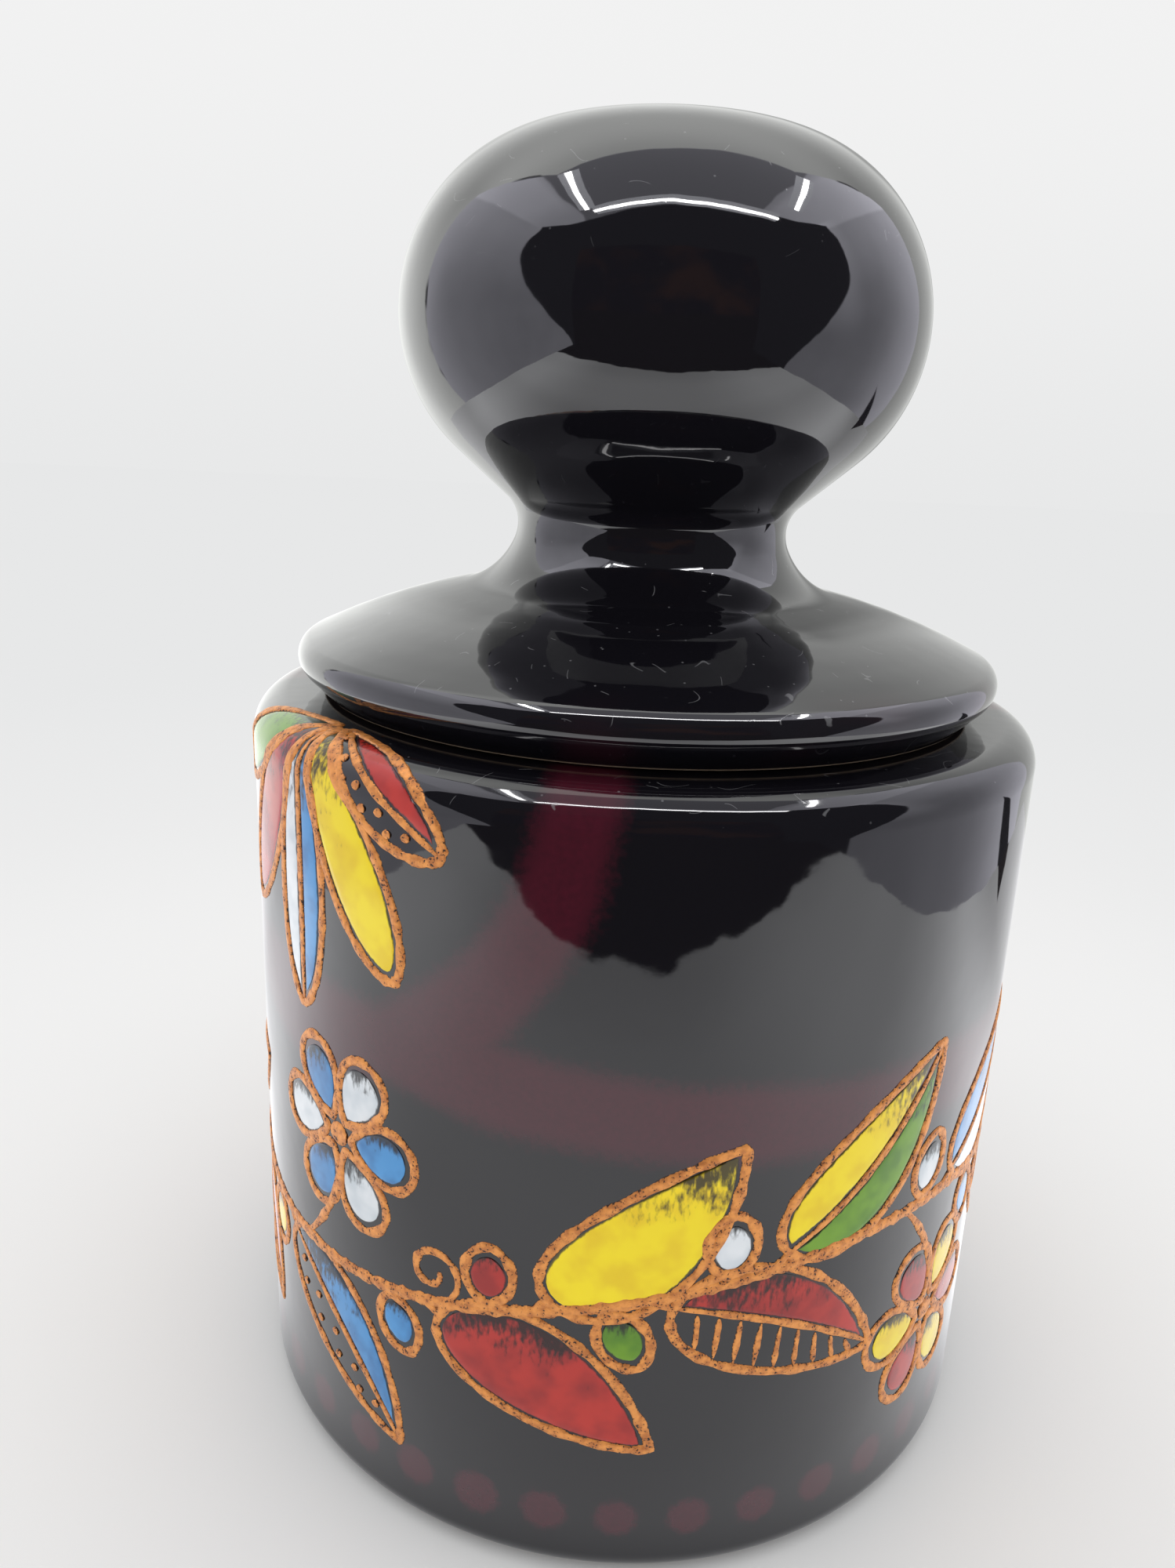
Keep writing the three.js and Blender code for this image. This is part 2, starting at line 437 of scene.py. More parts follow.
def jar_plum(base, place):
    """1 inside the sprayed bands and berries: each is a soft limit on the distance to a curve, in mm. The
    spray reached the outer wall and the top, and nothing inside the jar."""
    x, y, z = axes_of(place)
    around = base.math("ARCTAN2", x, -1 * y)
    reach = length_of(x, y) * 1000
    climb = z * 1000 + base.math("MAXIMUM", wall - reach, 0.0)
    grain = base.noise(place, 900.0) - 0.5
    drift = base.noise(place, 30.0, 1.0) - 0.5
    spread = grain * 4.0 + drift * 5.0
    swing = base.math("COSINE", around * WAVES - WAVES * spray_start / wall)
    wave = base.math("ABSOLUTE", climb - (swing * wave_swing + wave_height)) + spread
    aside = from_middle(base, around - spray_start / wall, WAVES, 0.5)
    arch = base.math("ABSOLUTE", length_of(aside, climb - arch_centre) - arch_radius) + spread
    berry = length_of(from_middle(base, around, berry_count, 0.25), climb - berry_height)
    berry = (berry + grain * 2.5 + drift * 2.0).smooth(*berry_edges)
    most = base.math("MAXIMUM", wave.smooth(*band_edges), arch.smooth(*band_edges))
    most = base.math("MAXIMUM", most, berry)
    beyond, above = reach - cavity_radius, z * 1000 - cavity_top
    outside = base.math("MAXIMUM", beyond.smooth(1.0, 3.0), above.smooth(2.7, 4.2))
    return most * (0.86 + grain * 0.5) * outside * reach.smooth(lip_x - lip_round, lip_x + 0.5)


def jar_clay(base, place):
    """1 on the foot ring, up to half a millimetre off the shelf."""
    return axes_of(place)[2].smooth(0.9 * MM, 0.4 * MM)


painted_glaze = glaze_material("painted_black_glaze", jar_clay, jar_plum, gloss=1.5)
jar_glaze = make_piece("jar_glaze", [turned(jar_section)], painted_glaze, "jar")
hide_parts("jar_body")

# %% [markdown]
# ## The lid
# Edge, domed top, waisted neck and ball knob are one thrown piece. Its outside is a chain of arcs, each of
# which starts where the last one ends and with the same normal, because a mirror would show any corner at
# once. Three radii and the length of the cone under the knob are solved, so that the chain closes.

# %% A chain of arcs
def normal(tilt):
    """The outward normal of a section whose surface leans back by tilt degrees: (cos tilt, sin tilt)."""
    return np.array([math.cos(math.radians(tilt)), math.sin(math.radians(tilt))])


def bend(start, first, last, radius):
    """Points of an arc from start on, while the normal n tilts from first to last degrees: start + radius *
    (n - n of first). A hollow arc has a negative radius."""
    angle = arc_angles(first, last)
    return np.asarray(start) + radius * (np.stack([np.cos(angle), np.sin(angle)], axis=-1) - normal(first))


seat_gap, seat_radius, rim_radius, rim_round, undercut, lid_wall = 0.3, 64.0, 69.0, 3.8, 45, 5.5
seat_height = body_height + seat_gap
rim_x = rim_radius - rim_round
rim_y = seat_height + rim_x - seat_radius + rim_round / math.cos(math.radians(undercut))
rim_tilt, dome_tilt, sweep_tilt, under_tilt = 64.0, 78.0, 24.0, -49.0
waist, waist_round = np.array([26.5, 179.56]), 8.0
knob_side, knob_y, knob_low_round, knob_side_round, crown_round = 49.5, 217.0, 31.6, 32.4, 180.0

dome_start = np.array([rim_x, rim_y]) + rim_round * normal(rim_tilt)
over_dome, over_sweep = normal(dome_tilt) - normal(rim_tilt), normal(dome_tilt) - normal(sweep_tilt)
climb = waist - dome_start - waist_round * (normal(sweep_tilt) - normal(0))
dome_round, sweep_round = np.linalg.solve(np.stack([over_dome, over_sweep], axis=1), climb)
dome_centre = dome_start - dome_round * normal(rim_tilt)
up_cone, over_head = normal(90 + under_tilt), normal(0) - normal(under_tilt)
climb = np.array([knob_side, knob_y]) - waist - knob_low_round * over_head
cone_length, head_round = np.linalg.solve(np.stack([up_cone, over_head], axis=1), climb)
print("radii: dome", round(dome_round, 1), "sweep", round(sweep_round, 1), "head", round(head_round, 1), "mm")

# %% Lid section
crown_y = knob_y - math.sqrt((crown_round - knob_side_round) ** 2 - (knob_side - knob_side_round) ** 2)
crown_tilt = math.degrees(math.atan2(knob_y - crown_y, knob_side - knob_side_round))


def dome_to_crown(first, inset):
    """One face of the lid from where the dome's tilt is first up to the crown. A wall that is set in moves
    along the normal, which takes the inset off every radius and leaves the tilts as they are."""
    at = dome_centre + (dome_round - inset) * normal(first)
    stretches = []
    for start, stop, radius in ((first, dome_tilt, dome_round), (dome_tilt, sweep_tilt, -sweep_round),
                                (sweep_tilt, 0, -waist_round), (0, under_tilt, -head_round),
                                (under_tilt, 0, knob_low_round), (0, crown_tilt, knob_side_round),
                                (crown_tilt, 90, crown_round)):
        stretches.append(bend(at, start, stop, radius - inset))
        at = stretches[-1][-1] + (cone_length * up_cone if stop == under_tilt else 0)
    return np.concatenate(stretches)


flange_outer, flange_inner, flange_depth, flange_round, root_round = 57.0, 52.0, 11.0, 2.5, 4.0
nose_y = body_height - flange_depth + flange_round
root_x = flange_inner - root_round
root_reach = dome_round - lid_wall - root_round
root_tilt = math.degrees(math.acos((root_x - dome_centre[0]) / root_reach))
root_y = dome_centre[1] + root_reach * math.sin(math.radians(root_tilt))
lid_section = section(
    dome_to_crown(root_tilt, lid_wall)[::-1],
    arc(root_x, root_y, root_round, root_tilt, 0),
    arc(flange_inner + flange_round, nose_y, flange_round, -180, 0),
    (flange_outer, seat_height),
    (seat_radius, seat_height),
    arc(rim_x, rim_y, rim_round, -undercut, rim_tilt),
    dome_to_crown(rim_tilt, 0),
)
print("lid section:", len(lid_section), "points, top at", round(lid_section[:, 1].max(), 2), "mm")

# %% [markdown]
# ## The lid's finish
# The lid is black, with a breath of plum on its edge. Only the ring that it rests on is bare, as glaze would
# have stuck it to its shelf.

# %% Lid
def lid_clay(base, place):
    """1 on the flat ring that rests on the jar: near its height, and from the flange to the seat's edge."""
    x, y, z = axes_of(place)
    reach = length_of(x, y)
    inner, outer = flange_outer * MM, seat_radius * MM
    ring = reach.smooth(inner - 0.1 * MM, inner + 0.4 * MM) * reach.smooth(outer + 0.4 * MM, outer - 0.1 * MM)
    return ring * base.math("ABSOLUTE", z - seat_height * MM).smooth(0.6 * MM, 0.3 * MM)


def lid_plum(base, place):
    """A breath of plum that drifted onto the lid's edge when the jar was sprayed."""
    reach = length_of(*axes_of(place)[:2])
    edge = reach.smooth((rim_radius - 7) * MM, rim_radius * MM)
    return edge * base.noise(place, 30.0, 1.0).smooth(0.50, 0.75) * 0.25


plain_glaze = glaze_material("black_glaze", lid_clay, lid_plum, gloss=1.65)
lid_glaze = make_piece("lid_glaze", [turned(lid_section)], plain_glaze, "lid")
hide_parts("lid")

# %% [markdown]
# ## One skin for paint and lines
# Enamel patches and copper lines stand off the glaze, thin and rounded. Both are the same kind of surface: a
# closed section carried along a path on the unrolled wall. A line's section is narrow and its path long, and
# a leaf's section is as wide as the leaf and shrinks to nothing at both ends.

# %% A section carried along a path
DIP = 0.2


def carried(u, s, side, half, crown, points, fullness, looped=False):
    """K closed skins over paths u, s of shape (K, M). At each path point the section reaches half mm to each
    side, in the direction side (K, M, 2), and with a the angle round it, it rises to crown * sin(a) to the
    power 1 / fullness above the glaze and goes DIP mm under it. Returns a part, and each point's distance
    from the painted edge in mm and height within its own skin from 0 to 1."""
    angle = 2 * math.pi * np.arange(points) / points
    across = half[..., None] * np.cos(angle)
    rise = crown[..., None] * np.maximum(np.sin(angle), 0) ** (1 / fullness)
    lift = rise - DIP * np.maximum(-np.sin(angle), 0) * np.minimum(half[..., None], 1.0)
    net_u = u[..., None] + side[..., 0, None] * across
    net_s = s[..., None] + side[..., 1, None] * across
    net = on_wall(net_u, net_s, lift).reshape(len(u), -1, 3)
    edge = (half[..., None] * (1 - np.abs(np.cos(angle)))).reshape(len(u), -1)
    tall = net_s.reshape(len(u), -1)
    if not looped:
        ends = [0, -1]
        net = np.concatenate([net, on_wall(u[:, ends], s[:, ends], 0 * u[:, ends])], axis=1)
        edge = np.concatenate([edge, np.zeros((len(u), 2))], axis=1)
        tall = np.concatenate([tall, s[:, ends]], axis=1)
    low, high = tall.min(axis=1, keepdims=True), tall.max(axis=1, keepdims=True)
    faces = net_faces(len(u), u.shape[1], points, looped)
    return (net.reshape(-1, 3), *faces), edge.ravel(), ((tall - low) / (high - low)).ravel()


def sideways(u, s, looped):
    """The unit direction left of each path's travel, from the difference of its neighbours. On a ring the
    step in u is taken the short way round the jar."""
    if looped:
        step_u = np.roll(u, -1, axis=1) - np.roll(u, 1, axis=1)
        step_u = (step_u + girth / 2) % girth - girth / 2
        step_s = np.roll(s, -1, axis=1) - np.roll(s, 1, axis=1)
    else:
        step_u, step_s = np.gradient(u, axis=1), np.gradient(s, axis=1)
    size = np.hypot(step_u, step_s)
    return np.stack([-step_s / size, step_u / size], axis=-1)


rng = np.random.default_rng(5)
LINE_POINTS, LINE_FULLNESS, LINE_CROWN = 8, 1.3, 0.33


def drawn_line(u, s, width, looped=False):
    """Copper lines along K paths. A hand-held tracer runs unevenly, so three waves of random phase change the
    width, and an open line thins out at both ends as the fourth root of a sine."""
    turn = np.linspace(0, 2 * math.pi, u.shape[1], endpoint=False)
    count = np.array([u.shape[1] // 9 + 1, u.shape[1] // 6 + 1, u.shape[1] // 4 + 1])
    phase = rng.uniform(0, 2 * math.pi, (len(u), 3, 1))
    waves = np.sin(count[:, None] * turn + phase) * np.array([0.12, 0.09, 0.07])[:, None]
    half = width / 2 * (1 + waves.sum(axis=1))
    ends = np.ones(u.shape[1]) if looped else np.sin(np.linspace(0.02, math.pi - 0.02, u.shape[1])) ** 0.25
    crown = np.minimum(LINE_CROWN, 0.22 * width) * ends + 0 * u
    return carried(u, s, sideways(u, s, looped), half * ends, crown, LINE_POINTS, LINE_FULLNESS, looped)


print("a copper line is", LINE_POINTS, "points round and up to", LINE_CROWN, "mm high")

# %% [markdown]
# ## Leaves
# A leaf is a stretch of axis with a width that grows and shrinks along it. Everything painted is one: garland
# leaves are pointed, petals are blunt, and a berry or dot is a leaf as wide as it is long.

# %% The shape of a leaf
def leaves(u, s, turn, length, width, bow=0.0, stem=0.5, tip=0.85):
    """K leaves as a dictionary of columns: where the stem end is, the axis's direction, sizes in mm, how far
    the axis bows to its left, and the powers that make the stem end and the tip round or pointed."""
    names = ("u", "s", "turn", "length", "width", "bow", "stem", "tip")
    columns = np.broadcast_arrays(u, s, turn, length, width, bow, stem, tip)
    return {name: np.ravel(column).astype(float)[:, None] for name, column in zip(names, columns)}


def half_width(leaf, t):
    """Half the width at t along the axis: t^stem (1 - t)^tip, scaled so that its peak is half the width."""
    stem, tip = leaf["stem"], leaf["tip"]
    peak = stem ** stem * tip ** tip / (stem + tip) ** (stem + tip)
    return leaf["width"] / 2 * t ** stem * (1 - t) ** tip / peak


def leaf_point(leaf, t, across):
    """The point t along the bowed axis and across mm to its left: the bow is a parabola, 4 t (1 - t) high."""
    along = leaf["length"] * t
    left = across + leaf["bow"] * 4 * t * (1 - t)
    u = leaf["u"] + along * np.cos(leaf["turn"]) - left * np.sin(leaf["turn"])
    return u, leaf["s"] + along * np.sin(leaf["turn"]) + left * np.cos(leaf["turn"])


def picked(leaf, chosen):
    """The leaves that an index or mask picks."""
    return {name: column[chosen] for name, column in leaf.items()}


def shrunk(leaf, margin):
    """The same leaves, about margin mm smaller all round. The pointed ends need more than the sides."""
    small = dict(leaf)
    small["length"] = leaf["length"] - 3.0 * margin
    small["width"] = leaf["width"] - 2.0 * margin
    small["u"] = leaf["u"] + 1.2 * margin * np.cos(leaf["turn"])
    small["s"] = leaf["s"] + 1.2 * margin * np.sin(leaf["turn"])
    return small


def eased(count):
    """Numbers from 0 to 1 that are dense at both ends: (1 - cos a) / 2."""
    return (1 - np.cos(np.linspace(0, math.pi, count))) / 2


ENAMEL_STEPS, ENAMEL_POINTS, ENAMEL_FULLNESS, ENAMEL_CROWN = 30, 18, 2.2, 0.16


def enamel(leaf, part, margin=1.1, rib=0.9):
    """Enamel inside each leaf's line: all of it, or the part on the left or right of a middle rib."""
    small = shrunk(leaf, margin)
    t = eased(ENAMEL_STEPS)[1:-1] + 0 * small["u"]
    half = half_width(small, t)
    low = np.minimum(rib, half) if part == "left" else -half
    high = -np.minimum(rib, half) if part == "right" else half
    u, s = leaf_point(small, t, (low + high) / 2)
    side = np.stack([-np.sin(small["turn"]) + 0 * t, np.cos(small["turn"]) + 0 * t], axis=-1)
    reach = np.maximum((high - low) / 2, 0.02)
    crown = np.minimum(ENAMEL_CROWN, 0.1 * reach)
    return carried(u, s, side, reach, crown, ENAMEL_POINTS, ENAMEL_FULLNESS)


def outline(leaf, width=1.9):
    """The line round each leaf: t goes out to the tip on the left side and back on the right."""
    steps = 2 * int(leaf["length"].max() * 1.1 + 8)
    tau = 2 * math.pi * np.arange(steps) / steps + 0 * leaf["u"]
    t = (1 - np.cos(tau)) / 2
    return drawn_line(*leaf_point(leaf, t, np.sign(math.pi - tau) * half_width(leaf, t)), width, looped=True)


def rib_line(leaf, width=1.6):
    """The middle rib of each leaf, from the stem to the tip."""
    return drawn_line(*leaf_point(leaf, np.linspace(0, 1, 30) + 0 * leaf["u"], 0.0), width)


# %% [markdown]
# ## The garland
# A stem runs round the jar in two slow waves, with leaves to both sides in turn and a bud behind each leaf.
# Each hollow of the wave holds a flower on a short stalk, and over the low hollows five leaves hang from the
# lid's edge down the shoulder. The pattern is a common one, made from the numbers below.

# %% Layout of the garland
stem_middle, stem_swing = 58.0, 9.0
leaf_count, leaf_gap, leaf_tilt = 24, 4.0, math.radians(35)
bud_back, bud_gap, bud_tilt = 8.0, 1.5, math.radians(75)
flower_shift = 10.5


def stem_height(u):
    """The stem's height: a wave with two crests round the jar, lowest where the spray starts."""
    return stem_middle - stem_swing * np.cos(WAVES * (u - spray_start) / wall)


def stem_slope(u):
    """The stem's direction, from the wave's derivative."""
    return np.arctan(stem_swing * WAVES / wall * np.sin(WAVES * (u - spray_start) / wall))


def off_stem(u, turn, gap):
    """The points gap mm from the stem at u, in the direction turn."""
    return u + gap * np.cos(turn), stem_height(u) + gap * np.sin(turn)


hollow_u = spray_start + girth / WAVES * np.arange(WAVES)
crest_u = hollow_u + girth / WAVES / 2
leaf_u = spray_start + girth / leaf_count * (np.arange(leaf_count) + 0.5)
leaf_side = np.where(np.arange(leaf_count) % 2 == 0, 1.0, -1.0)


def near(u, centres, before, after):
    """True where u is less than before mm ahead of one of the centres, or less than after mm past it."""
    gap = (u[:, None] - centres + girth / 2) % girth - girth / 2
    return ((gap > -before) & (gap < after)).any(axis=1)


over_flower = near(leaf_u, hollow_u + flower_shift, 45, 8) & (leaf_side > 0)
under_flower = near(leaf_u, crest_u + flower_shift, 45, 8) & (leaf_side < 0)
kept = ~over_flower & ~under_flower
leaf_u, leaf_side, leaf_kind = leaf_u[kept], leaf_side[kept], np.arange(leaf_count)[kept] % 6
leaf_turn = stem_slope(leaf_u) + leaf_side * leaf_tilt + rng.normal(0, 0.05, len(leaf_u))
leaf_length = 44.0 + rng.normal(0, 1.2, len(leaf_u))
leaf_width = 20.5 + rng.normal(0, 0.6, len(leaf_u))
garland = leaves(
    *off_stem(leaf_u, leaf_turn, leaf_gap), leaf_turn, leaf_length, leaf_width, bow=-2.6 * leaf_side)
bud_u = leaf_u - bud_back
bud_turn = stem_slope(bud_u) + leaf_side * bud_tilt
bud_length = 11.5 + rng.normal(0, 0.4, len(leaf_u))
buds = leaves(*off_stem(bud_u, bud_turn, bud_gap), bud_turn, bud_length, 8.8, stem=0.6, tip=0.6)
print(len(leaf_u), "garland leaves and buds, stem from", round(stem_height(hollow_u[0])), "to",
      round(stem_height(crest_u[0])), "mm high")

# %% Layout of the flowers and hanging leaves
flower_rise, petal_count, hang_height = 27.0, 6, 155.0


def rosette(u, s, turns, gap, length, width, stem, tip):
    """The same few leaves round each centre u, s: turned by turns, and starting gap mm from the centre."""
    count, turn = len(turns), np.tile(turns, len(u))
    return leaves(np.repeat(u, count) + gap * np.cos(turn), np.repeat(s, count) + gap * np.sin(turn), turn,
                  np.tile(length, len(u)), np.tile(width, len(u)), stem=stem, tip=tip)


flower_u = np.concatenate([hollow_u, crest_u]) + flower_shift
flower_way = np.repeat([1.0, -1.0], WAVES)
flower_s = stem_height(flower_u) + flower_rise * flower_way
petals = rosette(
    flower_u, flower_s, np.arange(petal_count) * 2 * math.pi / petal_count, gap=3.4,
    length=[15.0] * petal_count, width=[11.2] * petal_count, stem=0.8, tip=0.5)
hanging = rosette(
    hollow_u, np.full(WAVES, hang_height), np.radians([-148, -119, -90, -61, -32]), gap=3.0,
    length=[37.0, 48.0, 54.0, 48.0, 37.0], width=[12.0, 13.5, 14.2, 13.5, 12.0], stem=0.9, tip=0.6)
print(len(petals["u"]), "petals and", len(hanging["u"]), "hanging leaves")

# %% [markdown]
# ## Filling the leaves
# Each leaf has a kind: the colours of its left and right side. Two equal ones fill it whole. Two words stand
# for patterns drawn in copper on the bare glaze, short strokes or dots, as a potter does to rest the eye
# between the colours.

# %% Filling
COLOURS = ("yellow", "red", "blue", "green", "white")
MARKS = 9
fills = {colour: [] for colour in COLOURS}
lines = []


def berries(u, s, size):
    """Round copper drops of the given size, centred at u, s."""
    dot = leaves(np.ravel(u) - size / 2, np.ravel(s), 0.0, size, size, stem=0.5, tip=0.5)
    t = eased(9)[1:-1] + 0 * dot["u"]
    side, crown = np.stack([0 * t, 0 * t + 1], axis=-1), 0.3 + 0 * t
    return carried(*leaf_point(dot, t, 0.0), side, half_width(dot, t), crown, points=10, fullness=1.6)


def strokes(leaf, way):
    """Short strokes from the rib to the edge on one side of each leaf, 1 left and -1 right. Each slants
    forward by 0.06 of the leaf's length."""
    share = np.linspace(0, 1, 8)
    t = np.linspace(0.10, 0.84, MARKS)[:, None] + np.linspace(0, 0.06, 8)
    t = np.tile(t, (len(leaf["u"]), 1))
    spread = {name: np.repeat(column, MARKS, axis=0) for name, column in leaf.items()}
    room = np.maximum(half_width(spread, t) - 1.9, 0.3)
    return drawn_line(*leaf_point(spread, t, way * (0.9 + room * share)), width=1.2)


def dots(leaf, way):
    """Dots in turn at 0.36 and 0.70 of the half width, on one side of each leaf."""
    t = np.tile(np.linspace(0.14, 0.82, MARKS), (len(leaf["u"]), 1))
    share = np.where(np.arange(MARKS) % 2 == 0, 0.36, 0.70)
    return berries(*leaf_point(leaf, t, way * half_width(leaf, t) * share), size=1.7)


def paint(leaf, kinds):
    """Adds each leaf's enamel, patterns and lines. kinds has a row for each leaf: left and right filling."""
    kinds = np.array(kinds)
    whole = kinds[:, 0] == kinds[:, 1]
    for colour in COLOURS:
        left, right = kinds[:, 0] == colour, kinds[:, 1] == colour
        for part, chosen in (("whole", whole & left), ("left", ~whole & left), ("right", ~whole & right)):
            if chosen.any():
                fills[colour].append(enamel(picked(leaf, chosen), part))
    for pattern, draw in (("strokes", strokes), ("dots", dots)):
        for column, way in ((0, 1), (1, -1)):
            if (kinds[:, column] == pattern).any():
                lines.append(draw(picked(leaf, kinds[:, column] == pattern), way))
    lines.append(outline(leaf))
    if (~whole).any():
        lines.append(rib_line(picked(leaf, ~whole)))


KINDS = [("blue", "white"), ("red", "red"), ("yellow", "yellow"), ("red", "strokes"), ("yellow", "green"),
         ("blue", "dots")]
paint(garland, [KINDS[kind] for kind in leaf_kind])
PETAL_COLOURS = ["blue", "white"] * petal_count + ["red", "yellow"] * petal_count
paint(petals, [(colour, colour) for colour in PETAL_COLOURS])
HANGING_KINDS = [("green", "green"), ("red", "red"), ("blue", "white"), ("yellow", "yellow"), ("red", "dots")]
paint(hanging, HANGING_KINDS * WAVES)
BUD_COLOURS = ["white", "blue", "red", "green", "white", "yellow"]
paint(buds, [(BUD_COLOURS[kind], BUD_COLOURS[kind]) for kind in leaf_kind])
print({colour: len(parts) for colour, parts in fills.items()}, "groups of enamel")

# %% Stem, stalks, curls and flower hearts
stem_steps, stem_width, stalk_width, curl_width, heart_size = 960, 2.5, 1.9, 1.6, 4.8
stalk_back, heart_gap = 12, 4
curl_ahead, curl_radius, curl_turns, curl_shrink = 22, 6.0, 1.3, 0.78
ring_u = girth * np.arange(stem_steps)[None, :] / stem_steps
lines.append(drawn_line(ring_u, stem_height(ring_u), stem_width, looped=True))
# A leaf's stalk is straight.
share = np.linspace(0, 1, 8)
stalk_u = leaf_u[:, None] + (garland["u"] - leaf_u[:, None]) * share
stalk_s = stem_height(leaf_u)[:, None] + (garland["s"] - stem_height(leaf_u)[:, None]) * share
lines.append(drawn_line(stalk_u, stalk_s, stalk_width))
# A flower's stalk leaves the stem behind the flower and bends up to it as a parabola.
share = np.linspace(0, 1, 24)
rise_s = stem_height(flower_u - stalk_back)[:, None]
heart_s = (flower_s - heart_gap * flower_way)[:, None]
lines.append(drawn_line(flower_u[:, None] - stalk_back * (1 - share) ** 2,
                        rise_s + (heart_s - rise_s) * share, stalk_width))
# A curl is a spiral that starts on the stem and shrinks as it turns.
share = np.linspace(0, 1, 60)
curl_turn = flower_way[:, None] * (-math.pi / 2 + 2 * math.pi * curl_turns * share)
curl_reach = curl_radius * (1 - curl_shrink * share)
curl_u = flower_u + curl_ahead
curl_s = stem_height(curl_u) + curl_radius * flower_way
lines.append(drawn_line(curl_u[:, None] + curl_reach * np.cos(curl_turn),
                        curl_s[:, None] + curl_reach * np.sin(curl_turn), curl_width))
lines.append(berries(flower_u, flower_s, heart_size))
print(sum(len(part[0]) for part, edge, tall in lines), "points of copper line")

# %% [markdown]
# ## Copper and enamel
# The lines are a paste with copper in it: matt, orange brown, crumbled at its edges and cracked where it
# dried thick. The enamels are glossy. Each is brushed on thin, so it has a ragged edge, and black is sprayed
# over its upper part in fine grains. Two numbers stored on each point say where that is: `edge`, the
# distance from the painted edge in mm, and `tall`, the height within the leaf.

# %% Copper paste
def stored(base, name):
    """A number stored on the piece's points."""
    return base.node("ShaderNodeAttribute", {"attribute_name": name}, out="Fac")


def copper_material():
    """Orange-brown flakes with dark cracks between them, worn away raggedly at the line's edges."""
    material, base = new_material("copper_paste")
    place = base.node("ShaderNodeTexCoord", out="Object")
    crumbs = base.noise(place, 2300.0, 3.0)
    cake = base.noise(place, 700.0)
    rim = (stored(base, "edge") + (crumbs - 0.5) * 0.5).smooth(0.0, 0.12)
    worn = rim * (crumbs + cake * 0.5).smooth(0.56, 0.66)
    tint = cake.smooth(0.3, 0.7).mix((0.44, 0.145, 0.030), (0.72, 0.285, 0.062))
    colour = worn.mix((0.020, 0.011, 0.008), tint)
    bumps = base.node("ShaderNodeBump", None, {"Strength": 1.0, "Distance": 0.12 * MM, "Height": crumbs})
    base.surface("ShaderNodeBsdfPrincipled", {
        "Base Color": colour, "Metallic": 0.25, "Roughness": 0.62 - worn * 0.16, "Normal": bumps})
    return material


def joined(group):
    """One piece's parts, and its two stored numbers, from a list of skins."""
    edge, tall = (np.concatenate([skin[i] for skin in group]) for i in (1, 2))
    return [skin[0] for skin in group], {"edge": edge, "tall": tall}


parts, values = joined(lines)
make_piece("copper_lines", parts, copper_material(), "jar", values)

# %% Enamels
SHADES = {
    "yellow": ((0.88, 0.70, 0.004), (0.74, 0.50, 0.004)),
    "red": ((0.48, 0.028, 0.018), (0.23, 0.012, 0.012)),
    "blue": ((0.070, 0.30, 0.64), (0.025, 0.13, 0.34)),
    "green": ((0.15, 0.32, 0.010), (0.06, 0.17, 0.008)),
    "white": ((0.76, 0.79, 0.82), (0.52, 0.58, 0.63)),
}


def enamel_material(colour):
    """Glossy enamel: bright and deep by slow noise, ragged at its edge and sprayed black at its top, in
    grains that are drawn out upwards."""
    material, base = new_material("enamel_" + colour)
    place = base.node("ShaderNodeTexCoord", out="Object")
    upright = base.node("ShaderNodeMapping", None, {"Vector": place, "Scale": (1.0, 1.0, 0.4)})
    grain = base.noise(upright, 1300.0, 3.0)
    brush = base.noise(place, 170.0)
    bright, deep = SHADES[colour]
    spray = (stored(base, "tall") + (grain - 0.5) * 0.75 + (brush - 0.5) * 0.5).smooth(0.66, 0.96)
    thin = (stored(base, "edge") + (brush - 0.5) * 0.8 + (grain - 0.5) * 0.7).smooth(0.42, 0.08)
    cover = (1 - spray * 0.93) * (1 - thin * 0.9)
    tint = (brush.smooth(0.35, 0.70) * 0.7 + stored(base, "tall") * 0.25).mix(bright, deep)
    ripple = base.node("ShaderNodeBump", None, {"Strength": 1.0, "Distance": 0.06 * MM, "Height": brush})
    base.surface("ShaderNodeBsdfPrincipled", {
        "Base Color": cover.mix((0.006, 0.005, 0.005), tint), "Roughness": 0.10 + grain * 0.12, "IOR": 1.4,
        "Normal": ripple})
    return material


for colour in COLOURS:
    parts, values = joined(fills[colour])
    make_piece("enamel_" + colour, parts, enamel_material(colour), "jar", values)

# %% [markdown]
# ## The light tent
# The jar stands in a white cloth tent about 70 cm wide with an open front. Only mirrors see it, as a box of
# glowing cloth: pale sides that brighten towards the lamps, a darker roof panel over the front, and behind
# that panel the brightest place, where a curved backdrop sheet starts. It is a little warmer than the rest,
# and dimmer straight behind the jar. East, north and upward are x, y and z in metres, so the lines between
# the parts are limits on how far north a place is. The front line, where the cloth ends, runs further back
# with height and bulges forward again in the middle of the roof. A thin dark gap follows the sheet's edge in
# places. At the foot of the right wall the cloth gapes in a dark slit, 60 mm wide, that leans and narrows to
# nothing 94 mm up.

# %% Where the tent's cloth is
tent_low, tent_high = (-0.35, -0.50, 0.0), (0.37, 0.35, 0.52)
panel_half = 0.20  # from the middle to each side of the darker roof panel


def stage_material(name):
    """A new material for the studio, and its empty node tree as a wire."""
    material, base = new_material(name)
    material.cycles.emission_sampling = "NONE"
    return material, base


